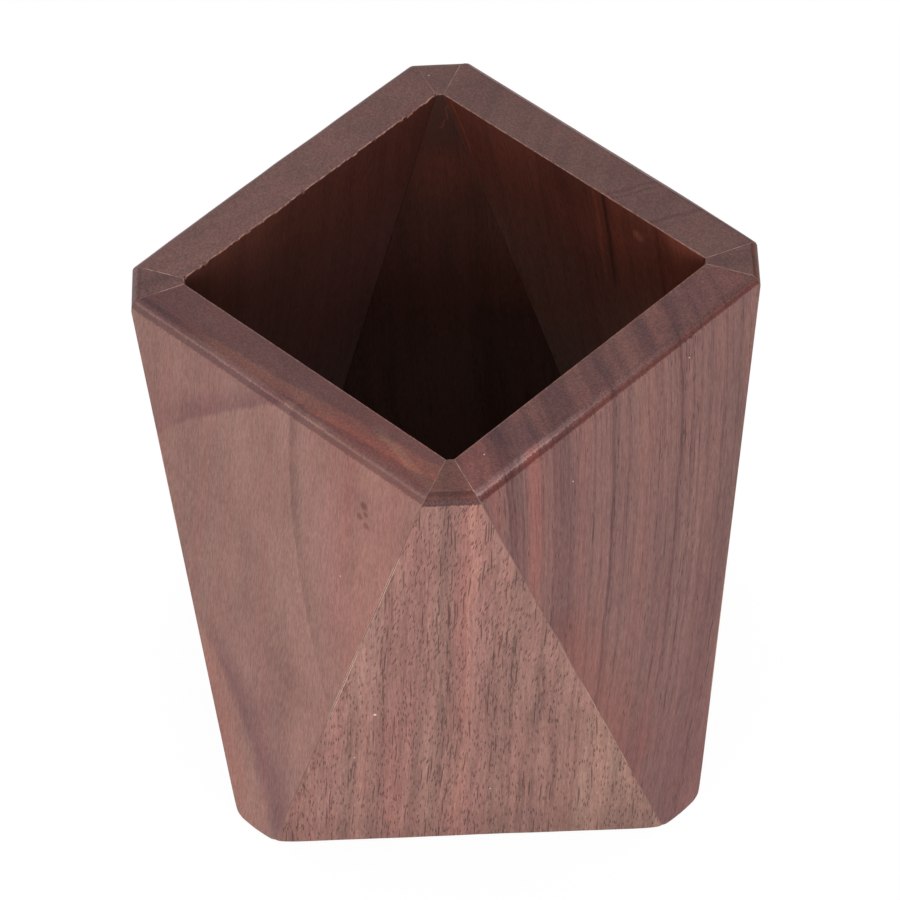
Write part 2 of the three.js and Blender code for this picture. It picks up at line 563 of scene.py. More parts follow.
class Shading:
    """The nodes of a material or a world, written as plain calls. Lengths are in millimetres."""

    def __init__(self, owner, seed=0):
        owner.use_nodes = True
        self.owner = owner
        self.tree = owner.node_tree
        self.shader = self.tree.nodes.get("Principled BSDF")
        self.seed = seed

    def fill(self, node, inputs):
        """Gives a node its inputs, by name or number, as outputs of others or plain values."""
        for key, value in inputs.items():
            if isinstance(value, bpy.types.NodeSocket):
                self.tree.links.new(value, node.inputs[key])
            else:
                node.inputs[key].default_value = value

    def node(self, kind, inputs=(), **settings):
        """A new node with its first inputs in their order."""
        node = self.tree.nodes.new(kind)
        for key, value in settings.items():
            setattr(node, key, value)
        self.fill(node, dict(enumerate(inputs)))
        return node

    def attribute(self, name):
        return self.node("ShaderNodeAttribute", attribute_name=name).outputs["Vector"]

    def vector_math(self, operation, *values):
        return self.node("ShaderNodeVectorMath", values, operation=operation).outputs[0]

    def object_place(self):
        place = self.node("ShaderNodeTexCoord").outputs["Object"]
        return self.vector_math("MULTIPLY", place, (1 / MM,) * 3)

    def math(self, operation, *values):
        return self.node("ShaderNodeMath", values, operation=operation).outputs[0]

    def product(self, first, *others):
        for other in others:
            first = self.math("MULTIPLY", first, other)
        return first

    def scaled(self, value, factor, offset):
        """The value times a factor, plus an offset."""
        return self.math("MULTIPLY_ADD", value, factor, offset)

    def rest(self, mask, share):
        """What is left of 1 where the mask takes its share."""
        return self.scaled(mask, -share, 1.0)

    def swing(self, base, value, size):
        """Adds to the base a value from 0 to 1, as a swing of the size to either side."""
        return self.scaled(self.math("SUBTRACT", value, 0.5), 2 * size, base)

    def parts(self, vector):
        return self.node("ShaderNodeSeparateXYZ", (vector,)).outputs

    def join(self, *values):
        return self.node("ShaderNodeCombineXYZ", values).outputs[0]

    def stretch(self, place, size, number):
        """A place measured in cells of the given size, moved to a part of the noise of its own."""
        scale = tuple(1 / length for length in size)
        seed = self.seed + number
        return self.vector_math("MULTIPLY_ADD", place, scale, (seed * 7.3, seed * 3.1, seed * 5.7))

    def noise(self, place, size, number, detail=2.0, roughness=0.5):
        """Soft noise in lumps of the given size. Each noise of a material has its own number."""
        node = self.node("ShaderNodeTexNoise")
        place = self.stretch(place, size, number)
        self.fill(node, {"Vector": place, "Scale": 1, "Detail": detail, "Roughness": roughness})
        return node.outputs["Fac"]

    def cells(self, place, size, number):
        """How far a place is from the middle of its cell, in cells, and a number of that cell."""
        node = self.node("ShaderNodeTexVoronoi")
        self.fill(node, {"Vector": self.stretch(place, size, number), "Scale": 1})
        return node.outputs["Distance"], self.parts(node.outputs["Color"])[0]

    def ramp(self, value, low, high, at_low=0.0, at_high=1.0):
        """Goes smoothly from at_low to at_high as the value goes from low to high."""
        inputs = (value, low, high, at_low, at_high)
        return self.node("ShaderNodeMapRange", inputs, interpolation_type="SMOOTHSTEP").outputs[0]

    def between(self, value, low, high, fade):
        """A mask that is 1 from low to high and fades out beyond them."""
        return self.product(self.ramp(value, low - fade, low), self.ramp(value, high + fade, high))

    def stripes(self, coordinate, bands):
        """The sum of soft bands across a coordinate, each (place, reach, strength)."""
        total = 0.0
        for place, reach, strength in bands:
            away = self.math("ABSOLUTE", self.math("SUBTRACT", coordinate, place))
            total = self.math("ADD", total, self.ramp(away, reach, 0, 0, strength))
        return total

    def mix(self, base, other, share, blend_type="MIX"):
        node = self.node("ShaderNodeMix", data_type="RGBA", blend_type=blend_type)
        self.fill(node, {0: share, 6: base, 7: other})
        return node.outputs[2]


PINK_TINT = (1.035, 0.98, 0.975)
GREY_TINT = (0.97, 1.015, 1.0)
PORE_TINT = (0.33, 0.28, 0.29)
# Painted light that lightens the lowest part of the inside
DEEPEST_INSIDE_PAINTED_LIGHT = (1.12, 1.62, 1.72)
GLUE_SHADE = colour(206, 170, 150)
GLUE_BROWN_SHADE = colour(124, 88, 82)
GLUE_INSIDE_SHADE = colour(56, 32, 27)
WORN_SHADE = colour(172, 128, 114)
SPECK_SHADE = colour(214, 196, 184)
FLOOR_LIGHT_SHADE = colour(122, 84, 72)
FLOOR_DEEP_SHADE = colour(84, 56, 48)

# How far above the roll's lower edge its shoulder starts and is complete
SHOULDER_START = 1.05
SHOULDER_END = 1.2


@dataclass
class Board:
    """What sets one stave's walnut apart from its neighbours'."""

    seed: int
    light: tuple
    deep: tuple
    # How far its fibres run sideways for each millimetre below the rim, and how fast that grows
    lean: tuple = (0.05, 0)
    # The angle in degrees at which its rings meet the face, and their spacing
    rings: float = 75
    spacing: float = 3
    contrast: float = 0.8
    fine: float = 0.5
    cloud: float = 0.2
    pores: float = 0.5
    long_pores: float = 0.2
    # How far its pores lean over to the right for each millimetre up its upper part
    pore_lean: float = 0
    # Tints of the rolled rim at its foot, on its slope and on its shoulder, and how high
    # above the roll's lower edge the foot starts and ends. Where they darken the roll, that
    # is partly end grain oiled darker and partly painted shade under the roll; a shoulder
    # paler than the wood is a painted sheen
    roll: tuple = ((0.42, 0.33, 0.32), (0.72, 0.62, 0.64), (0.82, 0.74, 0.75))
    foot: tuple = (0.15, 0.65)
    # The tint of its end grain, and how pale the rim's inner arris is worn
    end_grain: tuple = (0.57, 0.53, 0.55)
    arris: float = 0.6
    # Tints of the inside near the rim and deep down: the first is partly the wood's own
    # darker inside and partly painted shade, the second lightens it again as painted light
    inside: tuple = (0.60, 0.43, 0.38)
    deep_inside_painted_light: tuple = (1.4, 1.7, 1.75)
    marks: object = None


class Wood(Shading):
    """A board's walnut: where a point lies in it, in millimetres, and its colour so far."""

    def __init__(self, facing, board):
        super().__init__(bpy.data.materials.new(f"walnut_{facing}"), board.seed)
        self.board = board
        # Across the board from its middle, into it from its face, and up along it
        self.place = self.attribute("grain")
        self.u, self.depth, self.v = self.parts(self.place)
        self.up, self.inside, above_roll = self.parts(self.attribute("surface"))
        self.outside = self.math("SUBTRACT", 1.0, self.inside)
        self.end_grain = self.ramp(self.up, 0.75, 0.97)
        # Where the fibre through the point meets the rim, and the point in the grain's own run
        self.fibre_u = self.bent_fibre()
        self.fibre = self.join(self.fibre_u, self.depth, self.v)
        self.rings = self.ring_noise()
        self.hair = self.noise(self.fibre, (0.18, 0.18, 1.7), 4, 3, 0.7)
        # The rolled rim, frayed along its lower edge, and its shoulder
        frayed = self.noise(self.fibre, (0.35, 0.35, 1.5), 11, 3, 0.6)
        self.above_roll = self.swing(above_roll, frayed, 0.3)
        off_level = self.ramp(self.up, 0.998, 0.98)
        self.rolled = self.product(self.ramp(self.above_roll, -0.2, 0.0), off_level, self.outside)
        on_shoulder = self.ramp(self.above_roll, SHOULDER_START, SHOULDER_END)
        self.shoulder = self.product(self.rolled, on_shoulder)
        light, deep = (colour(*shade) for shade in (board.light, board.deep))
        self.colour = self.mix(light, deep, self.tone())

    def bent_fibre(self):
        """Leaning, bent and wavy fibres, each as the u at which it meets the rim."""
        down = self.math("SUBTRACT", HEIGHT, self.v)
        lean = self.scaled(down, self.board.lean[1], self.board.lean[0])
        leaning = self.scaled(lean, down, self.u)
        bent = self.swing(leaning, self.noise(self.place, (24, 24, 60), 0, 1), 1.6)
        return self.swing(bent, self.noise(self.place, (5, 5, 9), 8, 2), 0.35)

    def ring_noise(self):
        """Year rings, which meet the board's face at its own angle."""
        angle = radians(self.board.rings)
        ring = self.math("MULTIPLY", self.fibre_u, sin(angle))
        ring = self.scaled(self.depth, cos(angle), ring)
        return self.noise(self.join(ring, 0.0, self.v), (self.board.spacing, 1, 260), 1, 3, 0.6)

    def tone(self):
        """How deep the wood's tone is, by its rings, broad and fine streaks and cloud."""
        tone = self.swing(0.0, self.rings, 0.55)
        tone = self.swing(tone, self.noise(self.fibre, (4.5, 4.5, 60), 2, 2), 0.4)
        tone = self.swing(tone, self.noise(self.fibre, (0.5, 0.5, 13), 3, 3, 0.6), self.board.fine)
        tone = self.swing(tone, self.noise(self.place, (11, 11, 16), 5, 3), 1.5 * self.board.cloud)
        return self.ramp(tone, -0.33 / self.board.contrast, 0.33 / self.board.contrast)

    # Ramps across the board, into it from its face, and up along it

    def across(self, *steps):
        return self.ramp(self.u, *steps)

    def into(self, *steps):
        return self.ramp(self.depth, *steps)

    def along(self, *steps):
        return self.ramp(self.v, *steps)

    def multiply(self, by, *masks):
        """Multiplies the wood's colour by another where all the masks are 1."""
        self.colour = self.mix(self.colour, by, self.product(*masks), "MULTIPLY")

    def tint(self, by, *masks):
        """Multiplies the wood's colour by three plain values where all the masks are 1."""
        self.multiply((*by, 1), *masks)

    def paint(self, shade, *masks):
        """Covers the wood with a colour where all the masks are 1."""
        self.colour = self.mix(self.colour, shade, self.product(*masks))

    def streak(self, points, sides, ends, wander=0.0):
        """A mask for a streak along the quadratic curve u(v) through three (u, v) points.

        sides are how far it fades out to its left and right, ends its lowest and
        highest v, each with the length over which it fades.
        """
        across, along = zip(*points)
        second, first, offset = (float(factor) for factor in np.polyfit(along, across, 2))
        line = self.scaled(self.v, second, first)
        line = self.scaled(line, self.v, offset)
        beside = self.math("SUBTRACT", self.math("ADD", self.u, wander), line)
        left, right = sides
        (low, low_fade), (high, high_fade) = ends
        return self.product(
            self.ramp(beside, -left, 0),
            self.ramp(beside, right, 0),
            self.along(low - low_fade, low),
            self.along(high + high_fade, high),
        )

    def spot(self, place, reach):
        """A mask for a soft round spot at a (u, v) place."""
        du = self.math("SUBTRACT", self.u, place[0])
        dv = self.math("SUBTRACT", self.v, place[1])
        away = self.math("SQRT", self.math("ADD", self.product(du, du), self.product(dv, dv)))
        return self.ramp(away, reach, reach / 3)


def fine_fibres(wood):
    """Fibres as fine as hair and a mottle, which show more in the end grain."""
    mottle = wood.noise(wood.place, (0.4, 0.4, 0.7), 13, 2, 0.6)
    mottle = wood.ramp(mottle, 0.3, 0.7, 0.94, 1.06)
    mottle = wood.math("POWER", mottle, wood.scaled(wood.end_grain, 2.5, 1.0))
    lift = wood.product(wood.ramp(wood.hair, 0.32, 0.68, 0.8, 1.16), mottle)
    wood.multiply(wood.join(lift, lift, lift), 1.0)


def open_pores(wood):
    """A mask for open pores cut along their length: short ones that may lean, and long ones."""
    board = wood.board
    upper = wood.math("MAXIMUM", wood.math("SUBTRACT", wood.v, 45.0), 0.0)
    leaning_u = wood.scaled(upper, -board.pore_lean, wood.fibre_u)
    leaning = wood.join(leaning_u, wood.depth, wood.v)
    kinds = ((leaning, 0.33, 2.2, 6, board.pores), (wood.fibre, 0.4, 11, 10, board.long_pores))
    masks = []
    for place, pitch, length, number, amount in kinds:
        distance, chance = wood.cells(place, (pitch, pitch, length), number)
        kept = wood.math("LESS_THAN", chance, wood.swing(amount, wood.rings, 0.8))
        masks.append(wood.product(wood.ramp(distance, 0.33, 0.25), kept))
    fewer = (wood.rest(wood.end_grain, 0.75), wood.rest(wood.inside, 0.6))
    return wood.product(wood.math("MAXIMUM", *masks), *fewer)


def paint_roll_shade_and_sheen(wood):
    """The rolled rim's tints at its foot, on its slope and on its shoulder: darker parts are partly oiled
    end grain and partly painted shade, and a paler shoulder is a painted sheen.
    """
    foot_start, foot_end = wood.board.foot
    starts = (foot_start - 0.3, foot_end, SHOULDER_START)
    ends = (foot_start, foot_end + 0.15, SHOULDER_END)
    by = (1, 1, 1, 1)
    for tint, start, end in zip(wood.board.roll, starts, ends):
        by = wood.mix(by, (*tint, 1), wood.ramp(wood.above_roll, start, end))
    wood.multiply(by, wood.rolled)


def wear(wood):
    """The worn inner arris, specks of dust, and pale glue along the mitres."""
    worn = wood.noise(wood.place, (0.7, 0.7, 0.7), 7, 3, 0.65)
    near_arris = wood.into(WALL - 0.32, WALL - 0.12)
    patches = wood.ramp(worn, 0.38, 0.6, 0.15, 1.0)
    wood.paint(WORN_SHADE, near_arris, wood.ramp(wood.up, 0.35, 0.6), patches, wood.board.arris)
    speck, chance = wood.cells(wood.place, (7, 7, 7), 12)
    kept = wood.math("LESS_THAN", chance, 0.8)
    wood.paint(SPECK_SHADE, wood.ramp(speck, 0.025, 0.013), kept, wood.outside)
    pale, from_mitre, _ = wood.parts(wood.attribute("joint"))
    crumbs = wood.ramp(worn, 0.36, 0.56, 0.35, 1.0)
    wood.paint(GLUE_SHADE, pale, wood.ramp(from_mitre, 0.26, 0.14), crumbs, wood.outside)


def satin_finish(wood, pore):
    """Oiled wood, glossier on the rolled rim, with its pores and fibres in low relief."""
    rough = wood.ramp(wood.hair, 0.3, 0.7, 0.62, 0.5)
    height = wood.scaled(pore, -0.05, wood.math("MULTIPLY", wood.hair, 0.03))
    bump = wood.node("ShaderNodeBump")
    wood.fill(bump, {"Strength": 0.7, "Distance": MM, "Height": height})
    wood.fill(wood.shader, {
        "Base Color": wood.colour,
        "Specular IOR Level": 0.25,
        "Roughness": wood.scaled(wood.rolled, -0.14, rough),
        "Normal": bump.outputs[0],
    })


def walnut(facing, board):
    """A board's wood: rings, streaks, fibres and pores in its own solid grain."""
    wood = Wood(facing, board)
    hue = wood.noise(wood.fibre, (3.2, 3.2, 50), 9, 2)
    wood.tint(PINK_TINT, wood.ramp(hue, 0.5, 0.68))
    wood.tint(GREY_TINT, wood.ramp(hue, 0.5, 0.32))
    if board.marks:
        board.marks(wood)
    fine_fibres(wood)
    pore = open_pores(wood)
    wood.tint(PORE_TINT, pore, 0.8)
    wood.tint(board.end_grain, wood.end_grain)
    # The inside: darker, partly its own darker wood and partly painted shade, and lighter again lower
    # down, which is painted light
    wood.tint(board.inside, wood.inside)
    wood.tint(board.deep_inside_painted_light, wood.inside, wood.along(92, 50))
    wood.tint(DEEPEST_INSIDE_PAINTED_LIGHT, wood.inside, wood.along(62, 35))
    paint_roll_shade_and_sheen(wood)
    wear(wood)
    satin_finish(wood, pore)
    return wood.owner


# The front board, by where its bands meet the rim: pinker, greyer and darker wood
FRONT_PINK = ((-24, 7, 0.7), (-7, 5, 0.7), (4.5, 3.5, 0.8))
FRONT_GREY = ((-14.5, 4, 0.7), (-1, 3, 0.7), (12, 6, 0.8), (21, 5, 0.6))
# And its paler and deeper bands
FRONT_PALE = ((4, 2.4, 1), (-14, 2.2, 0.5), (-2, 1.3, 0.4), (-22.5, 2.5, 0.3), (10, 1.5, 0.2))
FRONT_DEEP = (
    (-4.2, 1.7, 0.6), (0, 1.3, 0.7), (-10, 1.6, 0.4), (8, 1.2, 0.3), (15.8, 2.6, 0.8), (15.5, 5, 0.6),
)
# Its darker streaks, each also with its lowest and highest v
FRONT_STREAKS = (
    (-16.6, 1.1, 22, 54, 0.9), (-13, 0.5, 8, 40, 0.6), (-10.2, 0.6, 26, 36, 0.8), (-9.6, 0.8, 52, 84, 0.5),
    (0.1, 0.9, 18, 42, 0.9), (1.1, 0.6, 48, 72, 0.6), (-4, 0.7, 58, 82, 0.5), (4.2, 0.5, 6, 30, 0.5),
    (8.2, 0.7, 38, 52, 0.7), (8.9, 0.6, 54, 72, 0.7), (12.6, 0.8, 40, 60, 0.6), (14.8, 0.9, 8, 26, 0.7),
    (17.3, 1.1, 40, 50, 0.8), (20.5, 0.7, 12, 34, 0.6), (-20, 0.6, 6, 24, 0.7), (-23.5, 0.8, 8, 26, 0.7),
)


def front_marks(wood):
    """Pink and grey-brown bands, dark streaks, and a paler wedge low on the right."""
    wander = wood.noise(wood.place, (3, 3, 22), 20, 3)
    band = wood.swing(wood.fibre_u, wander, 2.2)
    wood.tint((1.05, 0.98, 0.965), wood.stripes(band, FRONT_PINK))
    wood.tint((0.94, 1.0, 0.97), wood.stripes(band, FRONT_GREY))
    narrow = wood.swing(wood.fibre_u, wander, 0.7)
    wood.tint((1.22, 1.18, 1.15), wood.stripes(narrow, FRONT_PALE))
    wood.tint((0.86, 0.86, 0.86), wood.stripes(narrow, FRONT_DEEP))
    wood.tint((1.06, 1.07, 1.07), wood.along(30, 70))
    wood.tint((0.9, 0.9, 0.9), wood.along(11, 4))
    broken = wood.ramp(wood.noise(wood.fibre, (0.4, 0.4, 5), 21, 2, 0.6), 0.4, 0.62)
    for place, reach, low, high, strength in FRONT_STREAKS:
        away = wood.math("ABSOLUTE", wood.math("SUBTRACT", narrow, place))
        line = wood.product(wood.ramp(away, reach, 0), wood.between(wood.v, low, high, 7), broken)
        wood.tint((0.55, 0.52, 0.52), line, strength)
    border = wood.scaled(wood.v, 0.091, 18.1)
    beside = wood.math("SUBTRACT", wood.swing(wood.u, wander, 0.4), border)
    below = wood.along(42, 36)
    wood.tint((0.9, 0.89, 0.86), wood.ramp(beside, -7, 0), wood.ramp(beside, 0.2, -0.2), below)
    wood.tint((0.99, 1.08, 1.02), wood.ramp(beside, -0.2, 0.3), below)
    wood.paint(SPECK_SHADE, wood.spot((-15, 39.4), 0.4))


# The front left board: the curves of its dark cloud, feather and low band
FRONT_LEFT_CLOUD = ((-4.5, 97), (-14, 89.5), (-25, 79.5))
FRONT_LEFT_FEATHER = ((3.9, 97), (6.6, 73), (14.6, 45))
FRONT_LEFT_LOW_BAND = ((-13, 40), (-4.5, 27), (4, 8))
FRONT_LEFT_KNOTS = (((21.5, 91.2), 1.2), ((20.7, 88.4), 1.0), ((22.3, 87.2), 0.9), ((22, 89.6), 0.8))


def front_left_marks(wood):
    """A dark cloud under the rim, a curved feather, a low dark band and small knots."""
    wander = wood.noise(wood.place, (4, 4, 8), 20, 3)
    slow = wood.swing(0.0, wander, 1.2)
    slight = wood.swing(0.0, wander, 0.5)
    skin = wood.into(4, 1)
    pinker = wood.streak(((16, 96), (19, 73), (24, 45)), (11, 60), ((46, 12), (104, 2)), slow)
    wood.tint((1.09, 0.97, 0.955), pinker)
    pink_foot = wood.streak(((-16, 38), (-8, 20), (-3, 4)), (60, 5), ((0, 2), (32, 16)), slow)
    wood.tint((1.09, 0.98, 0.95), pink_foot)
    clear_of_edge = wood.product(skin, wood.across(-28, -17))
    cloud = wood.streak(FRONT_LEFT_CLOUD, (8, 1.6), ((76, 8), (104, 2)), slow)
    wood.tint((0.79, 0.74, 0.79), cloud, clear_of_edge)
    shadow = wood.streak(FRONT_LEFT_CLOUD, (26, 2), ((76, 12), (104, 2)), slow)
    wood.tint((0.93, 0.88, 0.92), shadow, skin)
    bent = wood.join(wood.math("SUBTRACT", wood.u, slight), 0.0, wood.v)
    hair_lines = wood.ramp(wood.noise(bent, (0.9, 1, 60), 21, 2, 0.6), 0.48, 0.6)
    dark = wood.streak(FRONT_LEFT_FEATHER, (0.5, 3.2), ((44, 8), (104, 2)), slight)
    wood.tint((0.74, 0.74, 0.76), dark, wood.along(45, 90, 0.5, 1.0), skin)
    pale = wood.streak(FRONT_LEFT_FEATHER, (1.6, 0.3), ((44, 8), (104, 2)), slight)
    wood.tint((1.06, 1.06, 1.04), pale)
    beyond = wood.streak(FRONT_LEFT_FEATHER, (0.5, 11), ((56, 14), (104, 2)), slight)
    wood.tint((0.82, 0.8, 0.82), beyond, hair_lines, skin, 0.2)
    lighter = wood.streak(((12, 92), (14, 78), (17, 62)), (6, 6), ((68, 8), (88, 6)), slight)
    wood.tint((1.13, 1.13, 1.17), lighter, skin)
    low = wood.streak(FRONT_LEFT_LOW_BAND, (3.5, 7.5), ((2, 4), (33, 12)), slow)
    wood.tint((0.72, 0.66, 0.74), low)
    shade_band = wood.streak(((-8, 72), (-3, 57), (4, 42)), (8, 10), ((44, 10), (66, 12)), slow)
    wood.tint((0.82, 0.8, 0.81), shade_band)
    haze = wood.streak(((-2, 44), (3, 28), (8, 8)), (9, 8), ((8, 10), (40, 14)), slow)
    wood.tint((0.91, 0.88, 0.93), haze)
    wood.tint((0.91, 0.89, 0.9), wood.spot((21, 91), 5.5), skin)
    for place, reach in FRONT_LEFT_KNOTS:
        wood.tint((0.62, 0.56, 0.56), wood.spot(place, reach), skin)
    layer = wood.scaled(wood.u, -0.08, wood.swing(wood.depth, wander, 1.0))
    rim_wood = wood.into(1.2, 2)
    wood.tint((0.74, 0.665, 0.73), rim_wood)
    wood.tint((1.48, 1.38, 1.2), wood.between(layer, 2.0, 4.3, 0.7), wood.across(-28, -16), rim_wood)
    end_layer = wood.scaled(wood.u, 0.25, wood.swing(wood.depth, wander, 0.6))
    tan_end = wood.between(end_layer, 10.8, 11.6, 0.7)
    wood.tint((1.1, 1.33, 1.2), tan_end, wood.across(15, 19), rim_wood)
    wood.tint((1.22, 1.06, 1.0), wood.ramp(layer, 3.4, 2.2), wood.across(0, 12), rim_wood)
    wood.tint((0.74, 0.68, 0.74), wood.between(wood.depth, 1.2, 2.4, 0.6), wood.across(-14, -24))
    # The shoulder towards one end loses its painted sheen and goes darker than the wood
    wood.tint((0.78, 0.76, 0.78), wood.shoulder, wood.across(8, 22))


# The front right board: how far its bands run along the rim for each millimetre
# through it, and its dark and pink bands, by where they meet the rim
FRONT_RIGHT_RING_LEAN = 0.52
FRONT_RIGHT_DARK = (
    (-26.2, 2.6, 0.55), (-27.4, 0.5, 0.5), (-26, 0.4, 0.5), (-24.3, 0.5, 0.6), (-19.6, 0.5, 0.5),
    (-18.2, 0.4, 0.4), (-16.8, 0.5, 0.45), (-14.6, 3.6, 0.4), (-13.2, 0.5, 0.4), (-10.8, 0.4, 0.35),
    (-7.3, 0.6, 0.4), (-2.7, 0.7, 0.75), (-1.6, 0.3, 0.35), (1, 0.5, 0.3), (3.6, 0.4, 0.3),
    (5.7, 0.4, 0.3), (9.8, 0.5, 0.35), (11.6, 0.4, 0.4), (13.6, 2.6, 0.45), (14.2, 0.6, 0.6),
    (17.3, 0.5, 0.3), (19.4, 0.4, 0.4), (21.5, 0.7, 0.4), (24, 5, 0.3), (25.4, 0.5, 0.5), (28.5, 5, 0.35),
)
FRONT_RIGHT_PINK = ((-21.6, 3, 1), (-30.8, 2.5, 0.7), (-9.5, 2.5, 0.2), (6, 6, 0.2))


def front_right_marks(wood):
    """Dark bands, upright at the rim and leaning more and more below it."""
    wander = wood.noise(wood.place, (5, 5, 16), 20, 3)
    band = wood.scaled(wood.depth, -FRONT_RIGHT_RING_LEAN, wood.fibre_u)
    band = wood.swing(band, wander, 0.9)
    fibres = wood.noise(wood.fibre, (0.35, 0.35, 9), 21, 3, 0.6)
    dark = wood.math("MINIMUM", wood.stripes(band, FRONT_RIGHT_DARK), 1.0)
    dark = wood.product(dark, wood.ramp(fibres, 0.3, 0.6, 0.6, 1.0))
    rim_wood = wood.into(1.4, 2.2)
    wood.tint((0.54, 0.48, 0.54), dark, wood.along(10, 60, 0.5, 1.0), wood.rest(rim_wood, 0.5))
    scratchy = wood.noise(wood.fibre, (0.3, 0.3, 12), 22, 2, 0.6)
    wood.tint((0.66, 0.6, 0.64), wood.ramp(scratchy, 0.54, 0.68), wood.along(35, 80, 0.2, 0.8))
    pink = wood.stripes(band, FRONT_RIGHT_PINK)
    wood.tint((1.14, 0.9, 0.89), pink, wood.along(40, 62, 0.4, 1.0), wood.rest(rim_wood, 0.9))
    wood.tint((0.93, 0.9, 0.93), wood.along(45, 5))
    rusty = wood.streak(((-17, 34), (-12, 22), (-8, 12)), (3, 2), ((16, 6), (32, 6)))
    wood.tint((1.12, 0.9, 0.89), rusty)
    redder = wood.streak(((-24, 66), (-18.5, 47), (-10, 20)), (3, 14), ((24, 8), (60, 8)))
    wood.tint((1.0, 0.85, 0.82), redder)
    upper_right = wood.product(wood.along(45, 65), wood.across(0, 8))
    wood.tint((1.05, 1.08, 1.06), upper_right, wood.into(1.5, 0.8))
    waves = wood.noise(wood.join(band, 0.0, 0.0), (3, 1, 1), 23, 1)
    wood.tint((1.28, 1.2, 1.15), rim_wood, wood.ramp(waves, 0.42, 0.62))
    wood.tint((0.88, 0.82, 0.88), rim_wood, wood.ramp(waves, 0.5, 0.36))
    wood.tint((1.22, 1.08, 1.08), rim_wood, wood.across(-23, -27))
    wood.tint((0.78, 0.8, 0.88), rim_wood, wood.between(wood.u, -22, -18, 2.5))
    wood.tint((1.14, 1.14, 1.13), rim_wood, wood.between(wood.u, 17, 23, 2))
    # On the shoulder: redder, with little of its painted sheen, away from the front, and towards the front
    # a strong painted lilac sheen, a reflection drawn into the colour
    wood.tint((0.92, 0.76, 0.69), wood.shoulder, wood.across(4, 24))
    wood.tint((1.6, 1.85, 1.9), wood.shoulder, wood.across(-4, -20))


# The back right board: its dark lines across the rim, by their place at the face, and the
# dark and bright streaks inside it
BACK_RIGHT_LINES = (
    (-12.2, 0.6, 0.7), (-13.6, 0.5, 0.6), (-17.5, 6, 0.35), (-22.6, 0.9, 0.7), (-24.4, 0.4, 0.4),
)
BACK_RIGHT_DARK = ((-7.2, 0.9, 1), (8.5, 1.2, 0.4), (-19.5, 1, 0.4))
BACK_RIGHT_BRIGHT = ((-4.9, 0.8, 1), (-10, 2, 0.35), (-24, 5, 0.25))


def back_marks(wood):
    """Inside, a thread of dried glue near the rim, and lighter patches beside and below it."""
    wander = wood.swing(0.0, wood.noise(wood.place, (2, 2, 1.6), 20, 1), 1.0)
    curve = ((-1.4, 99), (-1.2, 96), (0, 92.6))
    thread = wood.streak(curve, (0.25, 0.25), ((92.6, 0.3), (98.8, 0.4)), wander)
    wood.tint((2.15, 2.15, 2.05), thread, wood.inside)
    level = wood.swing(wood.v, wood.noise(wood.place, (5, 5, 4), 21, 2), 4)
    wood.tint((1.75, 1.38, 1.14), wood.inside, wood.across(12, -8), wood.between(level, 82, 84, 7))
    wood.tint((1.4, 1.38, 1.25), wood.inside, wood.across(0, -8), wood.between(wood.v, 56, 72, 6))


def back_left_marks(wood):
    """Painted light inside towards one end and painted shade under the rim, with a darker end outside."""
    wood.tint((1.28, 1.4, 1.4), wood.inside, wood.across(2, 18))
    wood.tint((0.9, 0.84, 0.8), wood.inside, wood.along(90, 98))
    wood.tint((0.88, 0.87, 0.88), wood.outside, wood.across(-10, -22))


def back_right_marks(wood):
    """Dark lines across the rim and a painted shade line by its outer edge, and inside near it some
    streaks, a pale smudge, painted light towards one end and painted shade under the rim.
    """
    wander = wood.noise(wood.place, (4, 4, 14), 20, 3)
    band = wood.scaled(wood.depth, -0.5, wood.swing(wood.u, wander, 0.8))
    wood.tint((0.66, 0.6, 0.68), wood.stripes(band, BACK_RIGHT_LINES), wood.outside)
    # A thin dark line just inside the rim's outer edge: painted shade of a rolled edge
    wood.tint((0.72, 0.64, 0.7), wood.between(wood.depth, 0.6, 0.9, 0.25), wood.outside, 0.8)
    near_rim = wood.product(wood.inside, wood.between(wood.v, 84, 104, 10))
    inner = wood.swing(wood.u, wander, 0.4)
    wood.tint((0.45, 0.42, 0.42), wood.stripes(inner, BACK_RIGHT_DARK), near_rim)
    wood.tint((1.5, 1.3, 1.2), wood.stripes(inner, BACK_RIGHT_BRIGHT), near_rim)
    # Inside, painted light towards one end, and painted shade under the rim
    wood.tint((1.7, 1.75, 1.7), wood.inside, wood.across(4, -22))
    painted_shade_under_rim = wood.product(wood.inside, wood.along(89, 98))
    wood.tint((0.68, 0.65, 0.64), painted_shade_under_rim, wood.between(wood.u, -20, 4, 5))
    bead = wood.streak(((28.6, 99.7), (27, 94.7), (25.6, 86)), (0.5, 0.5), ((92, 6), (101, 1)))
    wood.tint((1.6, 1.6, 1.5), bead, wood.inside)
    wood.tint((1.8, 2, 2.1), wood.spot((-14.7, 96.2), 1.8), wood.ramp(wander, 0.3, 0.5), wood.inside)


# The rolled rims of the two far corner boards keep nearly the wood's own tone
BACK_ROLL = ((0.9, 0.85, 0.9), (0.92, 0.9, 1.0), (0.92, 0.9, 1.0))


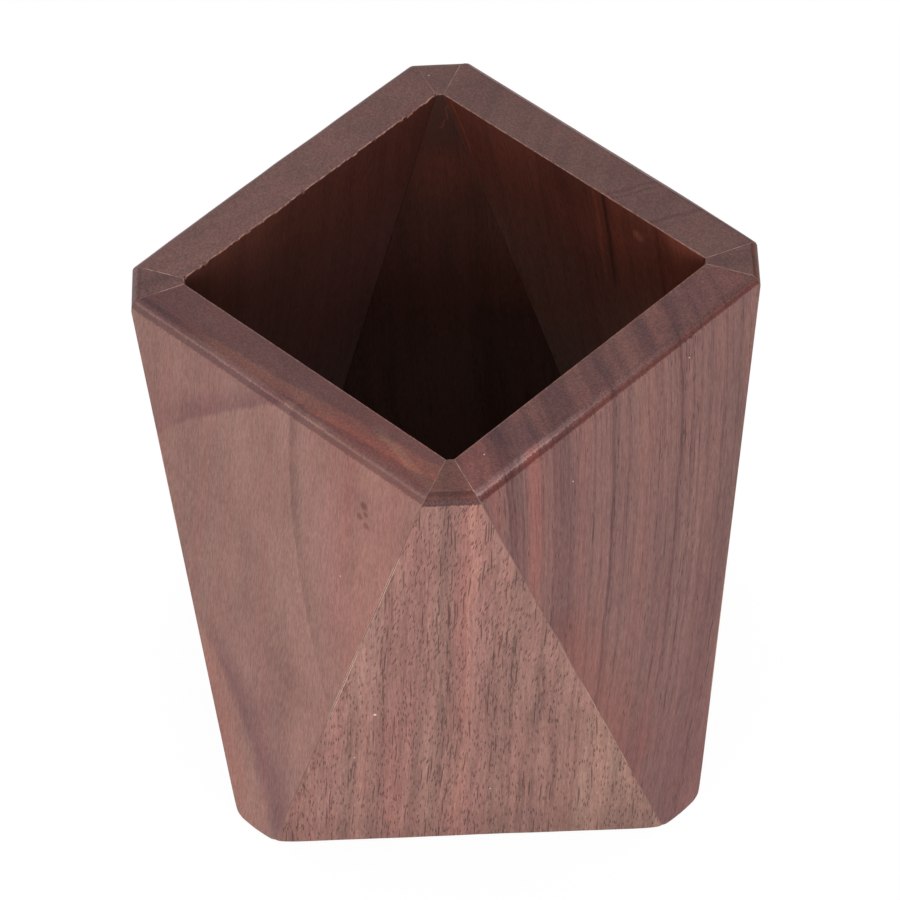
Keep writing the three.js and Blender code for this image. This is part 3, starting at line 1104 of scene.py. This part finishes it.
BOARDS = {
    "front": Board(
        seed=1, light=(163, 119, 109), deep=(128, 90, 84), lean=(0.06, 0), rings=80, spacing=2.6,
        contrast=0.5, fine=0.75, cloud=0.15, pores=0.6, long_pores=0.28, pore_lean=0.17, arris=0.3,
        roll=((0.27, 0.14, 0.14), (0.27, 0.17, 0.16), (0.42, 0.29, 0.28)), foot=(0.25, 0.95),
        end_grain=(0.58, 0.465, 0.46), marks=front_marks,
    ),
    "front_left": Board(
        seed=12, light=(159, 118, 108), deep=(141, 103, 95), lean=(0.03, 0), rings=12, contrast=0.6,
        fine=0.25, cloud=0.5, pores=-0.42, long_pores=-1, foot=(0.45, 0.9),
        # Its rolled rim: a paler shoulder, which is painted sheen
        roll=((0.57, 0.54, 0.59), (0.6, 0.6, 0.66), (1.1, 1.15, 1.17)), marks=front_left_marks,
    ),
    "front_right": Board(
        seed=23, light=(141, 100, 93), deep=(118, 84, 81), lean=(0.1, 0.002), rings=117.5,
        spacing=2.4, fine=0.4, cloud=0.1, pores=0.1, long_pores=0.05, end_grain=(0.61, 0.57, 0.59),
        # Its rolled rim: a dark foot, partly burnt end grain and partly painted shade, and a paler
        # shoulder, which is painted sheen
        roll=((0.52, 0.31, 0.29), (0.65, 0.53, 0.53), (1.1, 1.15, 1.15)), foot=(0.4, 0.75),
        marks=front_right_marks,
    ),
    "left": Board(seed=34, light=(160, 119, 113), deep=(125, 93, 90), rings=70, long_pores=0.3),
    "right": Board(
        seed=45, light=(156, 117, 111), deep=(122, 92, 88), lean=(-0.05, 0), rings=84, spacing=2.6,
        contrast=0.9, roll=((0.33, 0.15, 0.1), (0.45, 0.21, 0.13), (0.6, 0.29, 0.2)),
        foot=(0.1, 0.5), end_grain=(0.54, 0.5, 0.52),
    ),
    "back": Board(
        seed=56, light=(157, 119, 111), deep=(129, 98, 92), rings=30, spacing=3.4, contrast=0.6,
        inside=(0.158, 0.077, 0.055), deep_inside_painted_light=(1.85, 2.5, 3.0), marks=back_marks,
    ),
    "back_left": Board(
        seed=67, light=(160, 119, 110), deep=(136, 102, 96), lean=(-0.06, 0), rings=20, contrast=0.6,
        cloud=0.15, pores=0.4, roll=BACK_ROLL, arris=0.95, end_grain=(0.585, 0.545, 0.565),
        inside=(0.28, 0.162, 0.135), deep_inside_painted_light=(2.2, 3.15, 3.85), marks=back_left_marks,
    ),
    "back_right": Board(
        seed=78, light=(160, 122, 113), deep=(134, 101, 95), lean=(0.06, 0), rings=62, contrast=0.5,
        cloud=0.12, roll=BACK_ROLL, arris=0.7, end_grain=(0.48, 0.43, 0.445),
        inside=(0.385, 0.185, 0.139), deep_inside_painted_light=(2.45, 4.2, 5.0), marks=back_right_marks,
    ),
}


def glue(name):
    """Dried glue, pale where it stands full in the mitre and as brown as the wood elsewhere."""
    shade = Shading(bpy.data.materials.new(name))
    pale, inside, _ = shade.parts(shade.attribute("surface"))
    tone = shade.noise(shade.object_place(), (1.5, 1.5, 2.5), 90, 3, 0.65)
    share = shade.product(pale, shade.ramp(tone, 0.36, 0.6, 0.15, 0.95))
    # The glue inside is darker, as the inside wood is: partly its own tone and partly painted shade
    brown = shade.mix(GLUE_BROWN_SHADE, GLUE_INSIDE_SHADE, inside)
    dried = shade.mix(brown, GLUE_SHADE, share)
    shade.fill(shade.shader, {"Base Color": dried, "Roughness": 0.6})
    return shade.owner


def floor_walnut(name):
    """The floor panel's plain darker walnut, with its grain from side to side."""
    shade = Shading(bpy.data.materials.new(name))
    place = shade.object_place()
    broad = shade.noise(place, (80, 4, 8), 91, 3, 0.6)
    hair = shade.noise(place, (4, 0.25, 0.3), 92, 2, 0.6)
    tone = shade.scaled(hair, 0.5, broad)
    wood = shade.mix(FLOOR_LIGHT_SHADE, FLOOR_DEEP_SHADE, shade.ramp(tone, 0.55, 1.0))
    shade.fill(shade.shader, {"Base Color": wood, "Roughness": 0.6})
    return shade.owner


for facing, piece in staves.items():
    piece.data.materials.append(walnut(facing, BOARDS[facing]))
glue_material = glue("dried_glue")
for piece in glue_lines:
    piece.data.materials.append(glue_material)
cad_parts["floor_panel"].data.materials[0] = floor_walnut("walnut_floor_panel")


# Studio, in metres and watts

STAGE_HALF = 3
STAGE_SHADE = (0.8, 0.8, 0.8, 1)
STAGE_GLOW = 1.05
STAGE_GLOW_SHARE = 0.9
LAMP_SIZE = 1.0
LAMPS = {"key": ((0.12, -1.5, 0.42), 15), "overhead": ((0, 0.2, 1.6), 5)}
WORLD_LIGHT = 0.5


def seen(shade):
    """1 for what shows to the camera, in gloss or through something clear, and 0 for the rest."""
    path = shade.node("ShaderNodeLightPath").outputs
    direct = shade.math("MAXIMUM", path["Is Camera Ray"], path["Is Glossy Ray"])
    return shade.math("MAXIMUM", direct, path["Is Transmission Ray"])


def white_surface(name):
    """A white surface that shows paler than it lights the object."""
    shade = Shading(bpy.data.materials.new(name))
    shade.fill(shade.shader, {"Base Color": STAGE_SHADE, "Roughness": 0.9})
    glow = shade.node("ShaderNodeEmission")
    shade.fill(glow, {"Strength": STAGE_GLOW})
    share = shade.product(seen(shade), STAGE_GLOW_SHARE)
    mixed = shade.node("ShaderNodeMixShader", (share, shade.shader.outputs[0], glow.outputs[0]))
    shade.fill(shade.tree.nodes["Material Output"], {"Surface": mixed.outputs[0]})
    return shade.owner


def add_stage():
    """The floor that the holder stands on."""
    corners = [(-1, -1), (1, -1), (1, 1), (-1, 1)]
    mesh = bpy.data.meshes.new("floor")
    mesh.from_pydata([(x * STAGE_HALF, y * STAGE_HALF, 0) for x, y in corners], [], [range(4)])
    mesh.materials.append(white_surface("white_floor"))
    add_object("floor", mesh)


def add_lamp(name, place, power):
    """A square lamp that shines on the origin."""
    data = bpy.data.lights.new(name, "AREA")
    data.energy = power
    data.shape = "SQUARE"
    data.size = LAMP_SIZE
    lamp = add_object(name, data)
    lamp.location = place
    lamp.rotation_euler = (-Vector(place)).to_track_quat("-Z", "Y").to_euler()


def add_world():
    """White all round where it shows, and softer as light."""
    scene.world = bpy.data.worlds.new("studio")
    shade = Shading(scene.world)
    strength = shade.scaled(seen(shade), 1 - WORLD_LIGHT, WORLD_LIGHT)
    shade.fill(shade.tree.nodes["Background"], {"Color": (1, 1, 1, 1), "Strength": strength})


add_stage()
for name, (place, power) in LAMPS.items():
    add_lamp(name, place, power)
add_world()

scene.view_settings.view_transform = "Standard"
